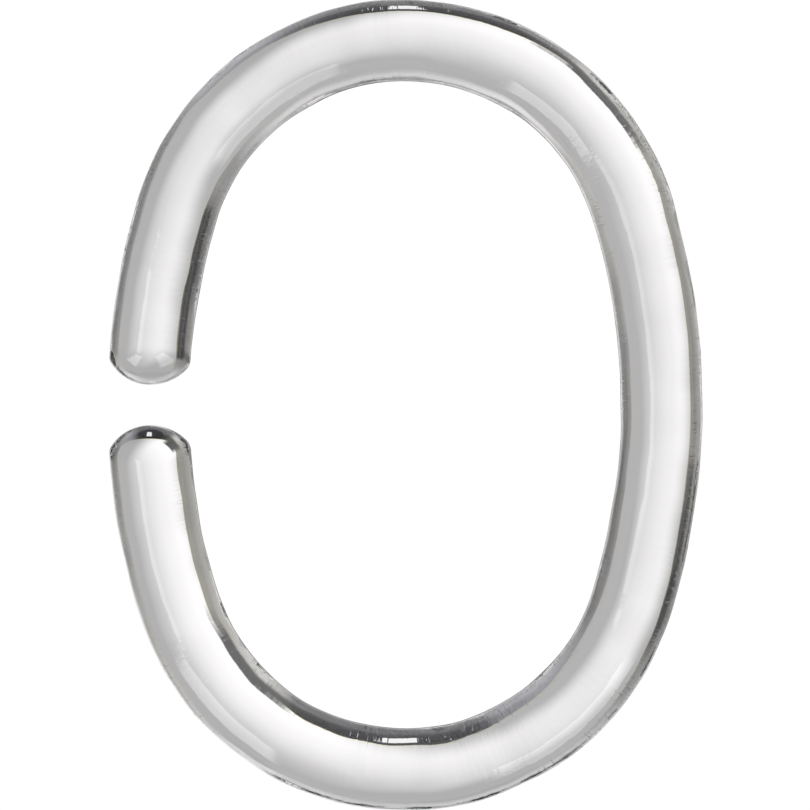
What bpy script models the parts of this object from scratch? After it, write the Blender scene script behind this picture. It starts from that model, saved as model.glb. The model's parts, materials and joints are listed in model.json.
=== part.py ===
"""A shower-curtain ring: one round bar of clear plastic, bent into an oval that is open on one side.

The ring hangs in the XZ plane from a rod that passes through it along Y. The origin is the point inside the top bend
where the bar rests on the rod. The gap between the two domed tips faces -X, and the bar's back is at +X.
The ring is one moulding that flexes at its back, so it is modelled as two rigid arms that turn about the bar's centre
line there. The arms are mirror images of each other.
"""

import math

import bmesh
import bpy
from mathutils import Matrix, Vector

# Driving dimensions, in metres
OVERALL_HEIGHT = 0.060
OVERALL_WIDTH = 0.044
BAR_DIAMETER = 0.006
SIDE_RADIUS = 0.050  # bow of the two long sides, along the bar's centre line
TIP_GAP = 0.003  # between the crowns of the two domed tips
TIP_DOME_HEIGHT = 0.002
TIP_EDGE_RADIUS = 0.0005  # where the dome meets the side of the bar

# How far the ring can be spread by hand, and what the two arms keep between them at that angle
SPREAD_ANGLE = math.radians(12)
FLEX_CLEARANCE = 0.00005

# Facets. A multiple of four gives the bar a flat on its inside, outside, front and back.
BAR_SIDES = 24
SIDE_STEPS = 10
BEND_STEPS = 29  # odd, so that one facet lies square across the middle of the bend
EDGE_STEPS = 3
DOME_STEPS = 5

BAR_RADIUS = BAR_DIAMETER / 2
HALF_WIDTH = OVERALL_WIDTH / 2 - BAR_RADIUS  # of the centre line's oval
HALF_HEIGHT = OVERALL_HEIGHT / 2 - BAR_RADIUS
FLEX_GAP = BAR_RADIUS * math.tan(SPREAD_ANGLE) + FLEX_CLEARANCE

# The top and bottom bends touch both long sides, which sets their radius and where they start.
BEND_RADIUS = (2 * SIDE_RADIUS * HALF_WIDTH - HALF_WIDTH**2 - HALF_HEIGHT**2) / (
    2 * (SIDE_RADIUS - HALF_HEIGHT)
)
SIDE_CENTRE = HALF_WIDTH - SIDE_RADIUS  # X of the back's arc centre; the gap side's is its mirror image
BEND_CENTRE = HALF_HEIGHT - BEND_RADIUS  # Z of the top bend's arc centre
SIDE_ANGLE = math.atan2(BEND_CENTRE, -SIDE_CENTRE)

OVAL_CENTRE = Vector((0, 0, BAR_RADIUS - HALF_HEIGHT))  # below the rod's seat, which is the origin
HINGE = Vector((HALF_WIDTH, 0, 0))  # from the oval's centre

CLEAR_PLASTIC = (0.93, 0.95, 0.96, 0.35)


def clear_scene():
    for obj in list(bpy.data.objects):
        bpy.data.objects.remove(obj, do_unlink=True)


def plastic_material():
    material = bpy.data.materials.new("clear_plastic")
    material.use_nodes = True
    shader = material.node_tree.nodes["Principled BSDF"]
    shader.inputs["Base Color"].default_value = CLEAR_PLASTIC
    shader.inputs["Alpha"].default_value = CLEAR_PLASTIC[3]
    shader.inputs["Roughness"].default_value = 0.05
    shader.inputs["Metallic"].default_value = 0.0
    return material


def bar_section(mesh, angle):
    """The bar's cross-section on the back's arc, at this angle above the middle, as a filled ring of edges."""
    turn = Matrix.Rotation(-angle, 4, "Y")
    place = Matrix.Translation((SIDE_CENTRE, 0, 0)) @ turn @ Matrix.Translation((SIDE_RADIUS, 0, 0))
    half_facet = Matrix.Rotation(math.pi / BAR_SIDES, 4, "Z")
    made = bmesh.ops.create_circle(
        mesh,
        cap_ends=True,
        segments=BAR_SIDES,
        radius=BAR_RADIUS / math.cos(math.pi / BAR_SIDES),
        matrix=place @ half_facet,
    )
    return list({edge for vert in made["verts"] for edge in vert.link_edges})


def carry_round(mesh, ring, centre_x, centre_z, angle, steps):
    """Carries a ring of edges round an arc in the XZ plane, anticlockwise as seen from the front."""
    made = bmesh.ops.spin(
        mesh,
        geom=ring,
        cent=(centre_x, 0, centre_z),
        axis=(0, -1, 0),
        angle=angle,
        steps=steps,
        use_duplicate=False,
    )
    return [part for part in made["geom_last"] if isinstance(part, bmesh.types.BMEdge)]


def dome_profile():
    """Points of the domed tip, as (distance past the end of the bar's side, radius), from the side to the crown."""
    inset = BAR_RADIUS - TIP_EDGE_RADIUS
    dome_radius = (TIP_DOME_HEIGHT**2 + inset**2 - TIP_EDGE_RADIUS**2) / (2 * (TIP_DOME_HEIGHT - TIP_EDGE_RADIUS))
    setback = dome_radius - TIP_DOME_HEIGHT
    meeting = math.atan2(setback, inset)
    for step in range(1, EDGE_STEPS + 1):
        angle = meeting * step / EDGE_STEPS
        yield TIP_EDGE_RADIUS * math.sin(angle), inset + TIP_EDGE_RADIUS * math.cos(angle)
    for step in range(1, DOME_STEPS):
        angle = meeting + (math.pi / 2 - meeting) * step / DOME_STEPS
        yield dome_radius * math.sin(angle) - setback, dome_radius * math.cos(angle)


def dome_tip(mesh, ring, base, outward):
    """Closes the bar past its last ring of edges with a dome, and brings the crown to a point."""
    radius = BAR_RADIUS
    reach = 0.0
    for distance, next_radius in dome_profile():
        made = bmesh.ops.extrude_edge_only(mesh, edges=ring)["geom"]
        verts = [part for part in made if isinstance(part, bmesh.types.BMVert)]
        ring = [part for part in made if isinstance(part, bmesh.types.BMEdge)]
        ring = [edge for edge in ring if all(vert in verts for vert in edge.verts)]
        centre = base + outward * reach
        bmesh.ops.scale(
            mesh, verts=verts, vec=Vector((1, 1, 1)) * (next_radius / radius), space=Matrix.Translation(-centre)
        )
        bmesh.ops.translate(mesh, verts=verts, vec=outward * (distance - reach))
        radius, reach = next_radius, distance
    made = bmesh.ops.extrude_edge_only(mesh, edges=ring)["geom"]
    verts = [part for part in made if isinstance(part, bmesh.types.BMVert)]
    bmesh.ops.pointmerge(mesh, verts=verts, merge_co=base + outward * TIP_DOME_HEIGHT)


def upper_arm_mesh():
    """The arm from the flex at the back, over the top bend, to its tip, about the oval's centre."""
    mesh = bmesh.new()
    start = math.asin(FLEX_GAP / 2 / SIDE_RADIUS)
    end = math.asin(TIP_GAP / 2 / math.hypot(SIDE_RADIUS, TIP_DOME_HEIGHT)) + math.atan2(TIP_DOME_HEIGHT, SIDE_RADIUS)
    ring = bar_section(mesh, start)
    ring = carry_round(mesh, ring, SIDE_CENTRE, 0, SIDE_ANGLE - start, SIDE_STEPS)
    ring = carry_round(mesh, ring, 0, BEND_CENTRE, math.pi - 2 * SIDE_ANGLE, BEND_STEPS)
    ring = carry_round(mesh, ring, -SIDE_CENTRE, 0, SIDE_ANGLE - end, SIDE_STEPS)
    base = Vector((-SIDE_CENTRE - SIDE_RADIUS * math.cos(end), 0, SIDE_RADIUS * math.sin(end)))
    dome_tip(mesh, ring, base, Vector((-math.sin(end), 0, -math.cos(end))))
    bmesh.ops.recalc_face_normals(mesh, faces=mesh.faces)
    return mesh


def add_arm(name, mesh, origin, ring, material):
    """Turns the mesh, given about the oval's centre, into an object with its origin at that point of the ring."""
    bmesh.ops.translate(mesh, verts=mesh.verts, vec=-origin)
    data = bpy.data.meshes.new(name)
    mesh.to_mesh(data)
    mesh.free()
    data.materials.append(material)
    data.shade_smooth()
    data.set_sharp_from_angle(angle=math.radians(40))
    arm = bpy.data.objects.new(name, data)
    arm.location = origin
    arm.parent = ring
    bpy.context.scene.collection.objects.link(arm)
    return arm


def build():
    clear_scene()
    material = plastic_material()
    ring = bpy.data.objects.new("ring_centre", None)
    ring.location = OVAL_CENTRE
    ring.empty_display_size = HALF_WIDTH
    bpy.context.scene.collection.objects.link(ring)

    add_arm("upper_arm", upper_arm_mesh(), -OVAL_CENTRE, ring, material)

    mirrored = upper_arm_mesh()
    bmesh.ops.transform(mirrored, verts=mirrored.verts, matrix=Matrix.Diagonal((1, 1, -1, 1)))
    bmesh.ops.recalc_face_normals(mirrored, faces=mirrored.faces)
    add_arm("lower_arm", mirrored, HINGE, ring, material)


build()
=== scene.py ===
import json
import math

import bpy
import numpy as np
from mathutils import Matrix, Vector


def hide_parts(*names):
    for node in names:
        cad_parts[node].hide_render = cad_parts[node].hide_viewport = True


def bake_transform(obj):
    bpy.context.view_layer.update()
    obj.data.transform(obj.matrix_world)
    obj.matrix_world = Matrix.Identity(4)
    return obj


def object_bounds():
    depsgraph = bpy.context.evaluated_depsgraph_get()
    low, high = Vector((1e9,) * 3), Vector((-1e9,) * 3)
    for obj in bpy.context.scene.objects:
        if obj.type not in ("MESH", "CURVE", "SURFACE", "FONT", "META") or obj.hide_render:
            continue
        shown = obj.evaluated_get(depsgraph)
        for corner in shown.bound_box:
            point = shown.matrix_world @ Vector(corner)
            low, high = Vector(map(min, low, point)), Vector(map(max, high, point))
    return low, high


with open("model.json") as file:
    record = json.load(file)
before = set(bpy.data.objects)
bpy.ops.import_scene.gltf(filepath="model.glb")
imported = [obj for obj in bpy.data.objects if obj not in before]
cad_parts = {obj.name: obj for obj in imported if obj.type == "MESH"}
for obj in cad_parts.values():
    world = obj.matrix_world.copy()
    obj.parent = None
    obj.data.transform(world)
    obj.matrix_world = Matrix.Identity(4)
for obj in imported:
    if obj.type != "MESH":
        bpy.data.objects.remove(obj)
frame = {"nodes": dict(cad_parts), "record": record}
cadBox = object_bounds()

print("frame loaded:", ", ".join(sorted(frame["nodes"])))


# Node graphs: a Wire is a socket that takes part in sums, and a Graph adds nodes to a tree
class Wire:
    def __init__(self, graph, socket):
        self.graph = graph
        self.socket = socket

    def outlet(self, name):
        return Wire(self.graph, self.socket.node.outputs[name])

    def maths(self, operation, *others):
        inputs = dict(enumerate((self, *others)))
        return self.graph.node("ShaderNodeMath", {"operation": operation}, inputs)

    def __add__(self, other):
        return self.maths("ADD", other)

    def __mul__(self, other):
        return self.maths("MULTIPLY", other)

    def __sub__(self, other):
        return self.maths("SUBTRACT", other)

    def __truediv__(self, other):
        return self.maths("DIVIDE", other)

    def __pow__(self, other):
        return self.maths("POWER", other)

    def __rsub__(self, other):
        return self.graph.number(other) - self

    __radd__ = __add__
    __rmul__ = __mul__


class Graph:
    def __init__(self, tree):
        self.tree = tree

    def node(self, kind, settings=None, inputs=None, outlet=0):
        made = self.tree.nodes.new(kind)
        for name, value in (settings or {}).items():
            if name == "stops":
                made.color_ramp.interpolation = "EASE"
                for place, colour in value[1:-1]:  # its two ends are there already
                    made.color_ramp.elements.new(place)
                for element, (place, colour) in zip(made.color_ramp.elements, value):
                    element.position = place
                    element.color = colour
            else:
                setattr(made, name, value)
        for name, value in (inputs or {}).items():
            if isinstance(value, Wire):
                self.tree.links.new(value.socket, made.inputs[name])
            else:
                made.inputs[name].default_value = value
        return Wire(self, made.outputs[outlet]) if made.outputs else made

    def number(self, value):
        return self.node("ShaderNodeMath", {"operation": "ADD"}, {0: value, 1: 0.0})

    def vector(self, x, y, z):
        return self.node("ShaderNodeCombineXYZ", None, {"X": x, "Y": y, "Z": z})

    def vectorMaths(self, operation, inputs):
        return self.node("ShaderNodeVectorMath", {"operation": operation}, inputs)

    def cloud(self, place, scale, detail):
        inputs = {"Vector": place, "Scale": scale, "Detail": detail}
        return self.node("ShaderNodeTexNoise", None, inputs)

    def least(self, one, other):
        return one.maths("MINIMUM", other)

    def most(self, one, other):
        return one.maths("MAXIMUM", other)

    def mix(self, factor, one, other):
        sides = [side if isinstance(side, (Wire, tuple)) else (side,) * 3 for side in (one, other)]
        return self.node(
            "ShaderNodeMix",
            {"data_type": "VECTOR", "factor_mode": "NON_UNIFORM"},
            {"Factor": factor, "A": sides[0], "B": sides[1]},
            outlet="Result",
        )

    def between(self, value, low, high, softLow, softHigh):
        start = self.ramp(value, low - softLow, low + softLow)
        return start * (1 - self.ramp(value, high - softHigh, high + softHigh))

    def ramp(self, value, low, high):
        return self.node(
            "ShaderNodeMapRange",
            {"interpolation_type": "SMOOTHSTEP"},
            {"Value": value, "From Min": low, "From Max": high},
        )


# Where the ring is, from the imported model: the joint lies on the bar's centre line, halfway up the back
spread = next(joint for joint in frame["record"]["behaviour"]["joints"] if joint["name"] == "spread")
backMiddle = Vector(spread["pos_m"])
barWidth = cadBox[1][1] - cadBox[0][1]

ring = {
    "Half width": backMiddle.x,  # of the centre line's oval
    "Half height": barWidth / 2 - backMiddle.z,
    "Middle": backMiddle.z,
    "Bar radius": barWidth / 2,
    "Side radius": 0.050,
    "Tip gap": 0.003,
    "Dome height": 0.002,
    "Dome edge": 0.0008,  # where the dome meets the bar's side, on the outside of the ring
    "Dome edge inside": 0.0013,
    "Dome height in front": 0.0028,  # the dome starts further back there, and runs out fuller
    "Dome edge in front": 0.0023,
    "Tip lean": 0.06,  # the domes face a little inwards
    "Lean length": 0.004,
    "Stations": 600,
    "Dome stations": 22,
    "Round steps": 144,
    "Crowding": 0.6,  # of the facets towards the parting line
    "Parting ridge": 0.00003,
    "Parting width": 0.00009,
    "Ripple": 0.00016,
    "Ripple length": 0.0055,
    "Streak": 0.000012,  # long shallow flats that run along the bar
    "Streak length": 0.03,
    "Streak width": 0.0008,
    "Seed": 7.0,
}
weldDistance = 1e-6  # joins the sweep's two long edges, and each tip's points at its crown


def softNoise(graph, place, seed, detail):
    inputs = {"Vector": place, "W": seed, "Scale": 1.0, "Detail": detail}
    noise = graph.node("ShaderNodeTexNoise", {"noise_dimensions": "4D"}, inputs)
    return 2 * noise - 1  # either side of nothing


def ringTree(sizes):
    tree = bpy.data.node_groups.new("ring sweep", "GeometryNodeTree")
    tree.is_modifier = True
    tree.interface.new_socket(name="Geometry", in_out="OUTPUT", socket_type="NodeSocketGeometry")
    for name, value in sizes.items():
        kind = "NodeSocketInt" if isinstance(value, int) else "NodeSocketFloat"
        tree.interface.new_socket(name=name, in_out="INPUT", socket_type=kind)
    tree.interface.new_socket(name="Material", in_out="INPUT", socket_type="NodeSocketMaterial")
    graph = Graph(tree)
    given = graph.node("NodeGroupInput")
    size = {name: given.outlet(name) for name in [*sizes, "Material"]}

    # the oval: two long side arcs and two bends that touch them
    sideRadius, halfWidth, halfHeight = size["Side radius"], size["Half width"], size["Half height"]
    chord = 2 * sideRadius * halfWidth - halfWidth**2 - halfHeight**2
    bendRadius = chord / (2 * (sideRadius - halfHeight))
    joinAngle = (halfHeight - bendRadius).maths("ARCTAN2", sideRadius - halfWidth)
    bendStart = sideRadius * joinAngle
    bendEnd = bendStart + bendRadius * (math.pi - 2 * joinAngle)
    domeHeight, barRadius = size["Dome height"], size["Bar radius"]
    reach = (sideRadius**2 + domeHeight**2) ** 0.5
    tipAngle = (size["Tip gap"] / 2 / reach).maths("ARCSINE") + domeHeight.maths("ARCTAN2", sideRadius)
    armLength = bendEnd + sideRadius * (joinAngle - tipAngle)

    # every point of a flat grid is a station along the bar and a step round it
    roundSteps, stations = size["Round steps"], size["Stations"]
    index = graph.node("GeometryNodeInputIndex")
    station = (index / (roundSteps + 1)).maths("FLOOR")
    turn = (index - station * (roundSteps + 1)) * (2 * math.pi) / roundSteps
    around = turn - size["Crowding"] * (turn * 2).maths("SINE") / 2

    # the dome: a cap of a sphere, rounded into the bar's side, more softly inside the ring and in front
    outY = around.maths("SINE")
    front = outY * outY
    inside = 1 - ((1 + around.maths("COSINE")) / 2) ** 2
    sideEdge = size["Dome edge"] + inside * (size["Dome edge inside"] - size["Dome edge"])
    domeEdge = sideEdge + front * (size["Dome edge in front"] - sideEdge)
    height = domeHeight + front * (size["Dome height in front"] - domeHeight)
    inset = barRadius - domeEdge
    domeRadius = (height**2 + inset**2 - domeEdge**2) / (2 * (height - domeEdge))
    meeting = math.pi / 2 - (domeRadius - height).maths("ARCTAN2", inset)
    fromTip = graph.least(station, stations - 1 - station)
    domeTurn = graph.least(fromTip / size["Dome stations"], 1) * (math.pi / 2)
    capTurn = graph.least(domeTurn, meeting)
    edgeTurn = graph.most(domeTurn, meeting)
    edgeOut = edgeTurn.maths("SINE") - meeting.maths("SINE")
    edgeBack = meeting.maths("COSINE") - edgeTurn.maths("COSINE")
    radius = domeRadius * capTurn.maths("SINE") + domeEdge * edgeOut
    depth = domeRadius * (1 - capTurn.maths("COSINE")) + domeEdge * edgeBack
    way = 1 - 2 * (station - size["Dome stations"]) / (stations - 1 - 2 * size["Dome stations"])
    upper = way.maths("SIGN")
    barEnd = armLength + domeHeight - height
    length = graph.least(way.maths("ABSOLUTE"), 1) * barEnd + (height - depth)
    onArc = graph.least(length, armLength)

    # the centre line, arc after arc, for the upper half, and its mirror image for the lower
    firstTurn = graph.least(onArc / sideRadius, joinAngle)
    bendTurn = graph.least(graph.most(onArc - bendStart, 0) / bendRadius, math.pi - 2 * joinAngle)
    lastTurn = graph.most(onArc - bendEnd, 0) / sideRadius
    heading = firstTurn + bendTurn + lastTurn
    past = length - onArc

    def arcs(wave, first):
        toBend = joinAngle.maths(wave)
        fromBend = (math.pi - joinAngle).maths(wave)
        start = halfWidth if first else graph.number(0.0)
        atStart = 1.0 if wave == "COSINE" else 0.0
        return (
            start
            + sideRadius * (firstTurn.maths(wave) - atStart)
            + bendRadius * ((joinAngle + bendTurn).maths(wave) - toBend)
            + sideRadius * ((math.pi - joinAngle + lastTurn).maths(wave) - fromBend)
        )

    lean = size["Tip lean"] * graph.ramp(length - armLength, size["Lean length"] * -1, 0.0)
    acrossX, upZ = (heading + lean).maths("COSINE"), (heading + lean).maths("SINE")
    lineX = arcs("COSINE", True) - past * upZ
    lineZ = arcs("SINE", False) + past * acrossX

    # the mould's two halves meet in a fine ridge, and the bar's surface ripples a little
    folded = around.maths("PINGPONG", math.pi / 2)
    nearEdge = folded / (size["Parting width"] / barRadius)
    ridge = size["Parting ridge"] * (nearEdge * nearEdge * -1).maths("EXPONENT")
    outX, outZ = acrossX * around.maths("COSINE"), upZ * around.maths("COSINE")
    wave = size["Ripple length"]
    surfaceX, surfaceZ = lineX + radius * outX, lineZ + radius * outZ
    place = graph.vector(surfaceX / wave, radius * outY / wave, surfaceZ * upper / wave)
    ripple = softNoise(graph, place, size["Seed"], 1.0)
    # the streaks' pattern is wrapped round a cylinder as long as the bar, so it has no seam
    streakWidth = size["Streak width"]
    streakPlace = graph.vector(
        around.maths("COSINE") * barRadius / streakWidth,
        outY * barRadius / streakWidth,
        upper * length / size["Streak length"],
    )
    streak = softNoise(graph, streakPlace, size["Seed"] + 1, 0.0)
    swell = (radius / barRadius) * (ridge + size["Ripple"] * ripple + size["Streak"] * streak)
    full = radius + swell
    fullX, fullZ = lineX + full * outX, lineZ + full * outZ
    position = graph.vector(fullX, full * outY, size["Middle"] + upper * fullZ)

    counts = {"Vertices X": stations, "Vertices Y": roundSteps + 1}
    grid = graph.node("GeometryNodeMeshGrid", None, counts)
    for name, value in {"along": upper * length, "around": around.maths("PINGPONG", math.pi)}.items():
        grid = graph.node(
            "GeometryNodeStoreNamedAttribute",
            {"data_type": "FLOAT", "domain": "POINT"},
            {"Geometry": grid, "Name": name, "Value": value},
        )
    swept = graph.node("GeometryNodeSetPosition", None, {"Geometry": grid, "Position": position})
    welding = {"Geometry": swept, "Distance": weldDistance}
    closed = graph.node("GeometryNodeMergeByDistance", None, welding)
    smooth = graph.node("GeometryNodeSetShadeSmooth", None, {"Geometry": closed})
    real = graph.node("GeometryNodeRealizeInstances", None, {"Geometry": smooth})
    done = graph.node("GeometryNodeSetMaterial", None, {"Geometry": real, "Material": size["Material"]})
    graph.node("NodeGroupOutput", None, {"Geometry": done})
    return tree


def sweepRing(sizes, material):
    tree = ringTree(sizes)
    seedMesh = bpy.data.meshes.new("ring sweep")
    maker = bpy.data.objects.new("ring sweep", seedMesh)
    bpy.context.scene.collection.objects.link(maker)
    sweep = maker.modifiers.new("ring sweep", "NODES")
    sweep.node_group = tree
    for socket in tree.interface.items_tree:
        if socket.item_type == "SOCKET" and socket.in_out == "INPUT":
            sweep[socket.identifier] = material if socket.name == "Material" else sizes[socket.name]
    depsgraph = bpy.context.evaluated_depsgraph_get()
    made = maker.evaluated_get(depsgraph)
    mesh = bpy.data.meshes.new_from_object(made, preserve_all_data_layers=True, depsgraph=depsgraph)
    bpy.data.objects.remove(maker)
    mesh.name = "clear_ring"
    piece = bpy.data.objects.new("clear_ring", mesh)
    bpy.context.scene.collection.objects.link(piece)
    return piece


plastic = {
    "colour": (0.992, 0.976, 0.982, 1.0),
    "scuff colour": (0.95, 0.953, 0.955, 1.0),
    "bending of light": 1.56,
    "roughness": 0.012,
    "patches": 90.0,  # of heavier marks, in each metre
    # each kind of mark: where a patch makes it stronger and, for scuffs and nicks, which of the noise shows
    "flow line length": 0.0004,
    "flow line patches": (0.40, 0.70),
    "flow line depth": 0.20,
    "scuffs": (400.0, 400.0, 3500.0),  # in each metre, the three ways
    "scuff turn": (0.3, 0.5, 0.7),
    "scuff patches": (0.5, 0.7),
    "scuff shows": (0.66, 0.76),
    "scuff depth": 0.1,
    "scuff roughness": 0.09,
    "nick length": 0.00022,
    "nick patches": (0.45, 0.65),
    "nick shows": (0.60, 0.72),
    "nick depth": 0.35,
    "nick roughness": 0.22,
    "rubbed edges": (0.45, 0.75),  # from the bar's front and back to its outer and inner edges
    "relief": 0.0002,  # of a mark whose depth is 1
    "relief strength": 0.25,
}


def clearPlastic(look):
    material = bpy.data.materials.new("clear moulded plastic")
    material.use_nodes = True
    graph = Graph(material.node_tree)
    shader = material.node_tree.nodes["Principled BSDF"]
    shader.inputs["Transmission Weight"].default_value = 1.0
    shader.inputs["IOR"].default_value = look["bending of light"]

    along = graph.node("ShaderNodeAttribute", {"attribute_name": "along"}, outlet="Fac")
    around = graph.node("ShaderNodeAttribute", {"attribute_name": "around"}, outlet="Fac")
    # the place on the bar as if it were straight, so that the marks stay put as the ring bends
    radius = ring["Bar radius"]
    where = graph.vector(along, around.maths("COSINE") * radius, around.maths("SINE") * radius)

    # flow lines lie across the bar, where the melt slowed and froze
    patchy = graph.cloud(where, look["patches"], 2.0)
    flow = graph.cloud(graph.vector(along / look["flow line length"], around * 3.0, 0.0), 1.0, 1.0)
    lines = (flow - 0.5) * (0.3 + graph.ramp(patchy, *look["flow line patches"]))

    # fine scuffs from other rings in the bag
    turned = {"Vector": where, "Rotation": look["scuff turn"], "Scale": look["scuffs"]}
    scuffCloud = graph.cloud(graph.node("ShaderNodeMapping", None, turned), 1.0, 2.0)
    scuff = graph.ramp(scuffCloud, *look["scuff shows"]) * graph.ramp(patchy, *look["scuff patches"])

    # nicks, where the ring rubs along its outer and inner edges
    nickCloud = graph.cloud(graph.vector(along / look["nick length"], around * 2.5, 3.0), 1.0, 1.0)
    rubbed = graph.ramp(around.maths("COSINE").maths("ABSOLUTE"), *look["rubbed edges"])
    worn = 0.25 + graph.ramp(patchy, *look["nick patches"])
    nick = graph.ramp(nickCloud, *look["nick shows"]) * rubbed * worn

    height = lines * look["flow line depth"] - scuff * look["scuff depth"] - nick * look["nick depth"]
    relief = {"Height": height, "Strength": look["relief strength"], "Distance": look["relief"]}
    bump = graph.node("ShaderNodeBump", None, relief)
    colours = {"Factor": scuff, "A": look["colour"], "B": look["scuff colour"]}
    colour = graph.node("ShaderNodeMix", {"data_type": "RGBA"}, colours, outlet=2)
    roughness = look["roughness"] + scuff * look["scuff roughness"] + nick * look["nick roughness"]
    for name, wire in {"Base Color": colour, "Roughness": roughness, "Normal": bump}.items():
        material.node_tree.links.new(wire.socket, shader.inputs[name])
    return material


ringPiece = sweepRing(ring, clearPlastic(plastic))
print("ring swept:", len(ringPiece.data.polygons), "faces")

along = np.empty(len(ringPiece.data.vertices), np.float32)
ringPiece.data.attributes["along"].data.foreach_get("value", along)
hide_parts("upper_arm", "lower_arm")
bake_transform(ringPiece)
# both tips lie near the middle height
print("ring bends across the back")


studio = {
    "camera distance": 0.300,
    "lens": 180.0,
    "floor drop": 0.052,  # from the ring's lowest point to the floor
    "floor radius": 0.30,
    "floor fades": (0.10, 0.27),  # from its middle, into the backdrop
    "floor colour": (0.90, 0.90, 0.895, 1.0),
    "floor roughness": 0.8,
    "backdrop": 1.02,
    # round the panel, in degrees off the line of sight: the room close by and further out, then a tent
    "room": (42.0, 56.0),
    "tent edge": (77.0, 83.0),
    "tent": 0.65,
    # from there round to behind the camera: where each change of tone starts and ends, and the tone
    "camera side": [(100, 108, 0.75), (112, 135, 0.42), (145, 168, 1.0)],
}
# A lit panel stands far behind the ring. Its edges are in degrees from straight behind.
panel = {
    "across": (-33.0, 42.0),
    "up": (-31.9, 42.0),
    "edge": 0.4,
    "bright": 1.07,  # at its lower left
    "dim": 0.385,  # at its upper right
    "slope": (-0.45, 0.60),
    "falling off": (0.16, 0.50, 0.56),  # to either side of that slope: from, to, by how much
    "least": 0.42,
    "rim": 3.0,  # how wide its yellow edge is
    "rim colour": (1.0, 0.98, 0.78),
}
# A gap in the dark cloth below the panel
slot = {"across": (-5.0, 2.4), "up": (-45.0, -36.0), "edge": 0.5, "bright": 0.95}
# The room round the panel: which way round from the right, how bright beside the panel, how bright further
# out, and how warm
roomTones = [
    (0, 0.28, 0.12, 0.04),
    (30, 0.50, 0.42, 0.04),
    (58, 0.55, 0.84, 0.0),
    (90, 0.45, 0.66, 0.0),
    (122, 0.46, 0.66, 0.0),
    (150, 0.24, 0.24, 0.02),
    (166, 0.04, 0.08, 0.08),
    (182, 0.24, 0.30, 0.09),
    (208, 0.32, 0.40, 0.10),
    (226, 0.30, 0.58, 0.05),
    (238, 0.02, 0.08, 0.0),
    (255, 0.007, 0.02, -0.40),
    (285, 0.008, 0.02, -0.40),
    (308, 0.28, 0.36, -0.08),
    (340, 0.24, 0.14, 0.04),
]
# Lit and dark things in the room: degrees off the line of sight and how soft each end of that is, then
# which way round, half its spread and how soft its sides are, and how bright
roomThings = [
    {"off": (35.5, 50), "soft": (1.0, 2.0), "round": 167, "spread": 9, "side": 3.5, "bright": 0.012},
    {"off": (30.5, 48), "soft": (1.0, 4.0), "round": 222, "spread": 14, "side": 6.0, "bright": 0.075},
    {"off": (66, 100), "soft": (4.0, 4.0), "round": 90, "spread": 40, "side": 8.0, "bright": 0.30},
]
# Softboxes by the camera, given in the same way and seen only off the ring's surface
softboxes = [
    {"off": (102, 140), "soft": (1.5, 1.5), "round": 227, "spread": 15, "side": 4.5, "bright": 4.0},
    {"off": (102, 140), "soft": (1.5, 1.5), "round": 309, "spread": 19, "side": 4.5, "bright": 3.4},
    {"off": (142, 154), "soft": (1.5, 7.0), "round": 188, "spread": 24, "side": 3.0, "bright": 3.0},
]
# Two lamps that light the floor
softLamps = [
    {"name": "soft light left", "place": (-0.35, -0.25, 0.45), "size": 0.35, "power": 2.2},
    {"name": "soft light right", "place": (0.40, -0.10, 0.40), "size": 0.35, "power": 1.5},
]


def roomRamp(graph, turn, tones, column):
    stops = []
    # it comes round to where it starts, and a warm tone has less blue in it and a little more red
    for tone in [*tones, (360, *tones[0][1:])]:
        bright, warm = tone[column], tone[3]
        stops.append((tone[0] / 360, (bright * (1 + 0.2 * warm), bright, bright * (1 - warm), 1.0)))
    return graph.node("ShaderNodeValToRGB", {"stops": stops}, {"Fac": turn / 360})


def inRectangle(graph, size, across, up):
    soft = (size["edge"], size["edge"])
    return graph.between(across, *size["across"], *soft) * graph.between(up, *size["up"], *soft)


def inSector(graph, thing, off, turn):
    apart = (turn - thing["round"] + 540).maths("FLOORED_MODULO", 360) - 180
    spread, side = thing["spread"], thing["side"]
    sector = graph.between(apart, -spread, spread, side, side)
    return graph.between(off, *thing["off"], *thing["soft"]) * sector


def panelLight(graph, look, right, high, across, up):
    fade = graph.ramp((right + high) * math.sqrt(0.5), *look["slope"])
    fallStart, fallEnd, fall = look["falling off"]
    aside = graph.ramp((right - high).maths("ABSOLUTE") * math.sqrt(0.5), fallStart, fallEnd)
    bright = (look["bright"] - fade * (look["bright"] - look["dim"])) * (1 - fall * aside)
    # blue bends more in the plastic than red does, which leaves the panel's edge a little yellow
    inFrom = graph.least(across - look["across"][0], up - look["up"][0])
    rim = graph.mix(graph.ramp(inFrom, 0.0, look["rim"]), look["rim colour"], 1.0)
    return graph.vectorMaths("SCALE", {"Vector": rim, "Scale": graph.most(bright, look["least"])})


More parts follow.
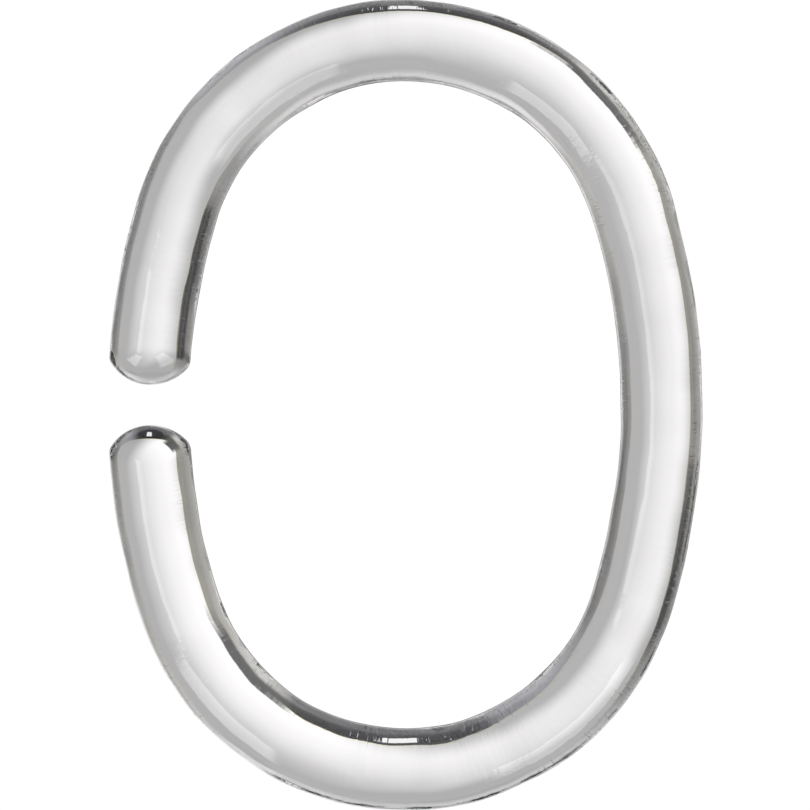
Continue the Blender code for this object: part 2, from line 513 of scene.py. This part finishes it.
def lightTent(look, tones, things, boxes):
    world = bpy.data.worlds.new("light tent")
    bpy.context.scene.world = world
    world.use_nodes = True
    world.node_tree.nodes.clear()
    graph = Graph(world.node_tree)
    way = graph.node("ShaderNodeTexCoord", outlet="Generated")
    split = graph.node("ShaderNodeSeparateXYZ", None, {"Vector": way})
    right, ahead, high = split, split.outlet("Y"), split.outlet("Z")
    off = ahead.maths("ARCCOSINE") * (180 / math.pi)
    turn = (high.maths("ARCTAN2", right) * (180 / math.pi)).maths("FLOORED_MODULO", 360)
    across = right.maths("ARCTAN2", ahead) * (180 / math.pi)
    up = high.maths("ARCTAN2", ahead) * (180 / math.pi)

    near, far = roomRamp(graph, turn, tones, 1), roomRamp(graph, turn, tones, 2)
    light = graph.mix(graph.ramp(off, *look["room"]), near, far)
    light = graph.mix(graph.ramp(off, *look["tent edge"]), light, look["tent"])
    for start, end, tone in look["camera side"]:
        light = graph.mix(graph.ramp(off, start, end), light, tone)
    light = graph.mix(inRectangle(graph, slot, across, up), light, slot["bright"])

    lit = panelLight(graph, panel, right, high, across, up)
    light = graph.mix(inRectangle(graph, panel, across, up), light, lit)
    for thing in things:
        light = graph.mix(inSector(graph, thing, off, turn), light, thing["bright"])
    path = graph.node("ShaderNodeLightPath")
    shine = 1 - path.outlet("Is Transmission Ray")
    for box in boxes:
        light = graph.mix(inSector(graph, box, off, turn) * shine, light, box["bright"])
    light = graph.mix(path.outlet("Is Camera Ray"), light, look["backdrop"])
    glow = graph.node("ShaderNodeBackground", None, {"Color": light, "Strength": 1.0})
    graph.node("ShaderNodeOutputWorld", None, {"Surface": glow})


def paleFloor(look):
    material = bpy.data.materials.new("pale floor")
    material.use_nodes = True
    shader = material.node_tree.nodes["Principled BSDF"]
    shader.inputs["Base Color"].default_value = look["floor colour"]
    shader.inputs["Roughness"].default_value = look["floor roughness"]
    graph = Graph(material.node_tree)
    where = graph.node("ShaderNodeTexCoord", outlet="Object")
    fromMiddle = graph.vectorMaths("LENGTH", {"Vector": where}).outlet("Value")
    solid = 1 - graph.ramp(fromMiddle, *look["floor fades"])
    material.node_tree.links.new(solid.socket, shader.inputs["Alpha"])
    bpy.ops.mesh.primitive_circle_add(
        vertices=96,
        radius=look["floor radius"],
        fill_type="NGON",
        location=(0, 0, cadBox[0][2] - look["floor drop"]),
    )
    floor = bpy.context.object
    floor.name = "floor"
    floor.data.materials.append(material)
    floor.visible_transmission = False
    floor.visible_glossy = False


def softLight(look):
    lamp = bpy.data.lights.new(look["name"], "AREA")
    lamp.shape = "DISK"
    lamp.size = look["size"]
    lamp.energy = look["power"]
    light = bpy.data.objects.new(look["name"], lamp)
    light.location = look["place"]
    light.rotation_euler = (backMiddle - light.location).to_track_quat("-Z", "Y").to_euler()
    light.visible_camera = False
    light.visible_glossy = False
    light.visible_transmission = False
    bpy.context.scene.collection.objects.link(light)


def frontCamera(look):
    middle = Vector((0, 0, backMiddle.z))
    lens = bpy.data.cameras.new("front camera")
    lens.lens = look["lens"]
    lens.clip_start = 0.01
    camera = bpy.data.objects.new("front camera", lens)
    camera.location = middle - Vector((0, look["camera distance"], 0))
    camera.rotation_euler = (math.pi / 2, 0, 0)
    bpy.context.scene.collection.objects.link(camera)
    bpy.context.scene.camera = camera


lightTent(studio, roomTones, roomThings, softboxes)
paleFloor(studio)
for softLamp in softLamps:
    softLight(softLamp)
frontCamera(studio)
bpy.context.scene.view_settings.view_transform = "Standard"
print("studio set")
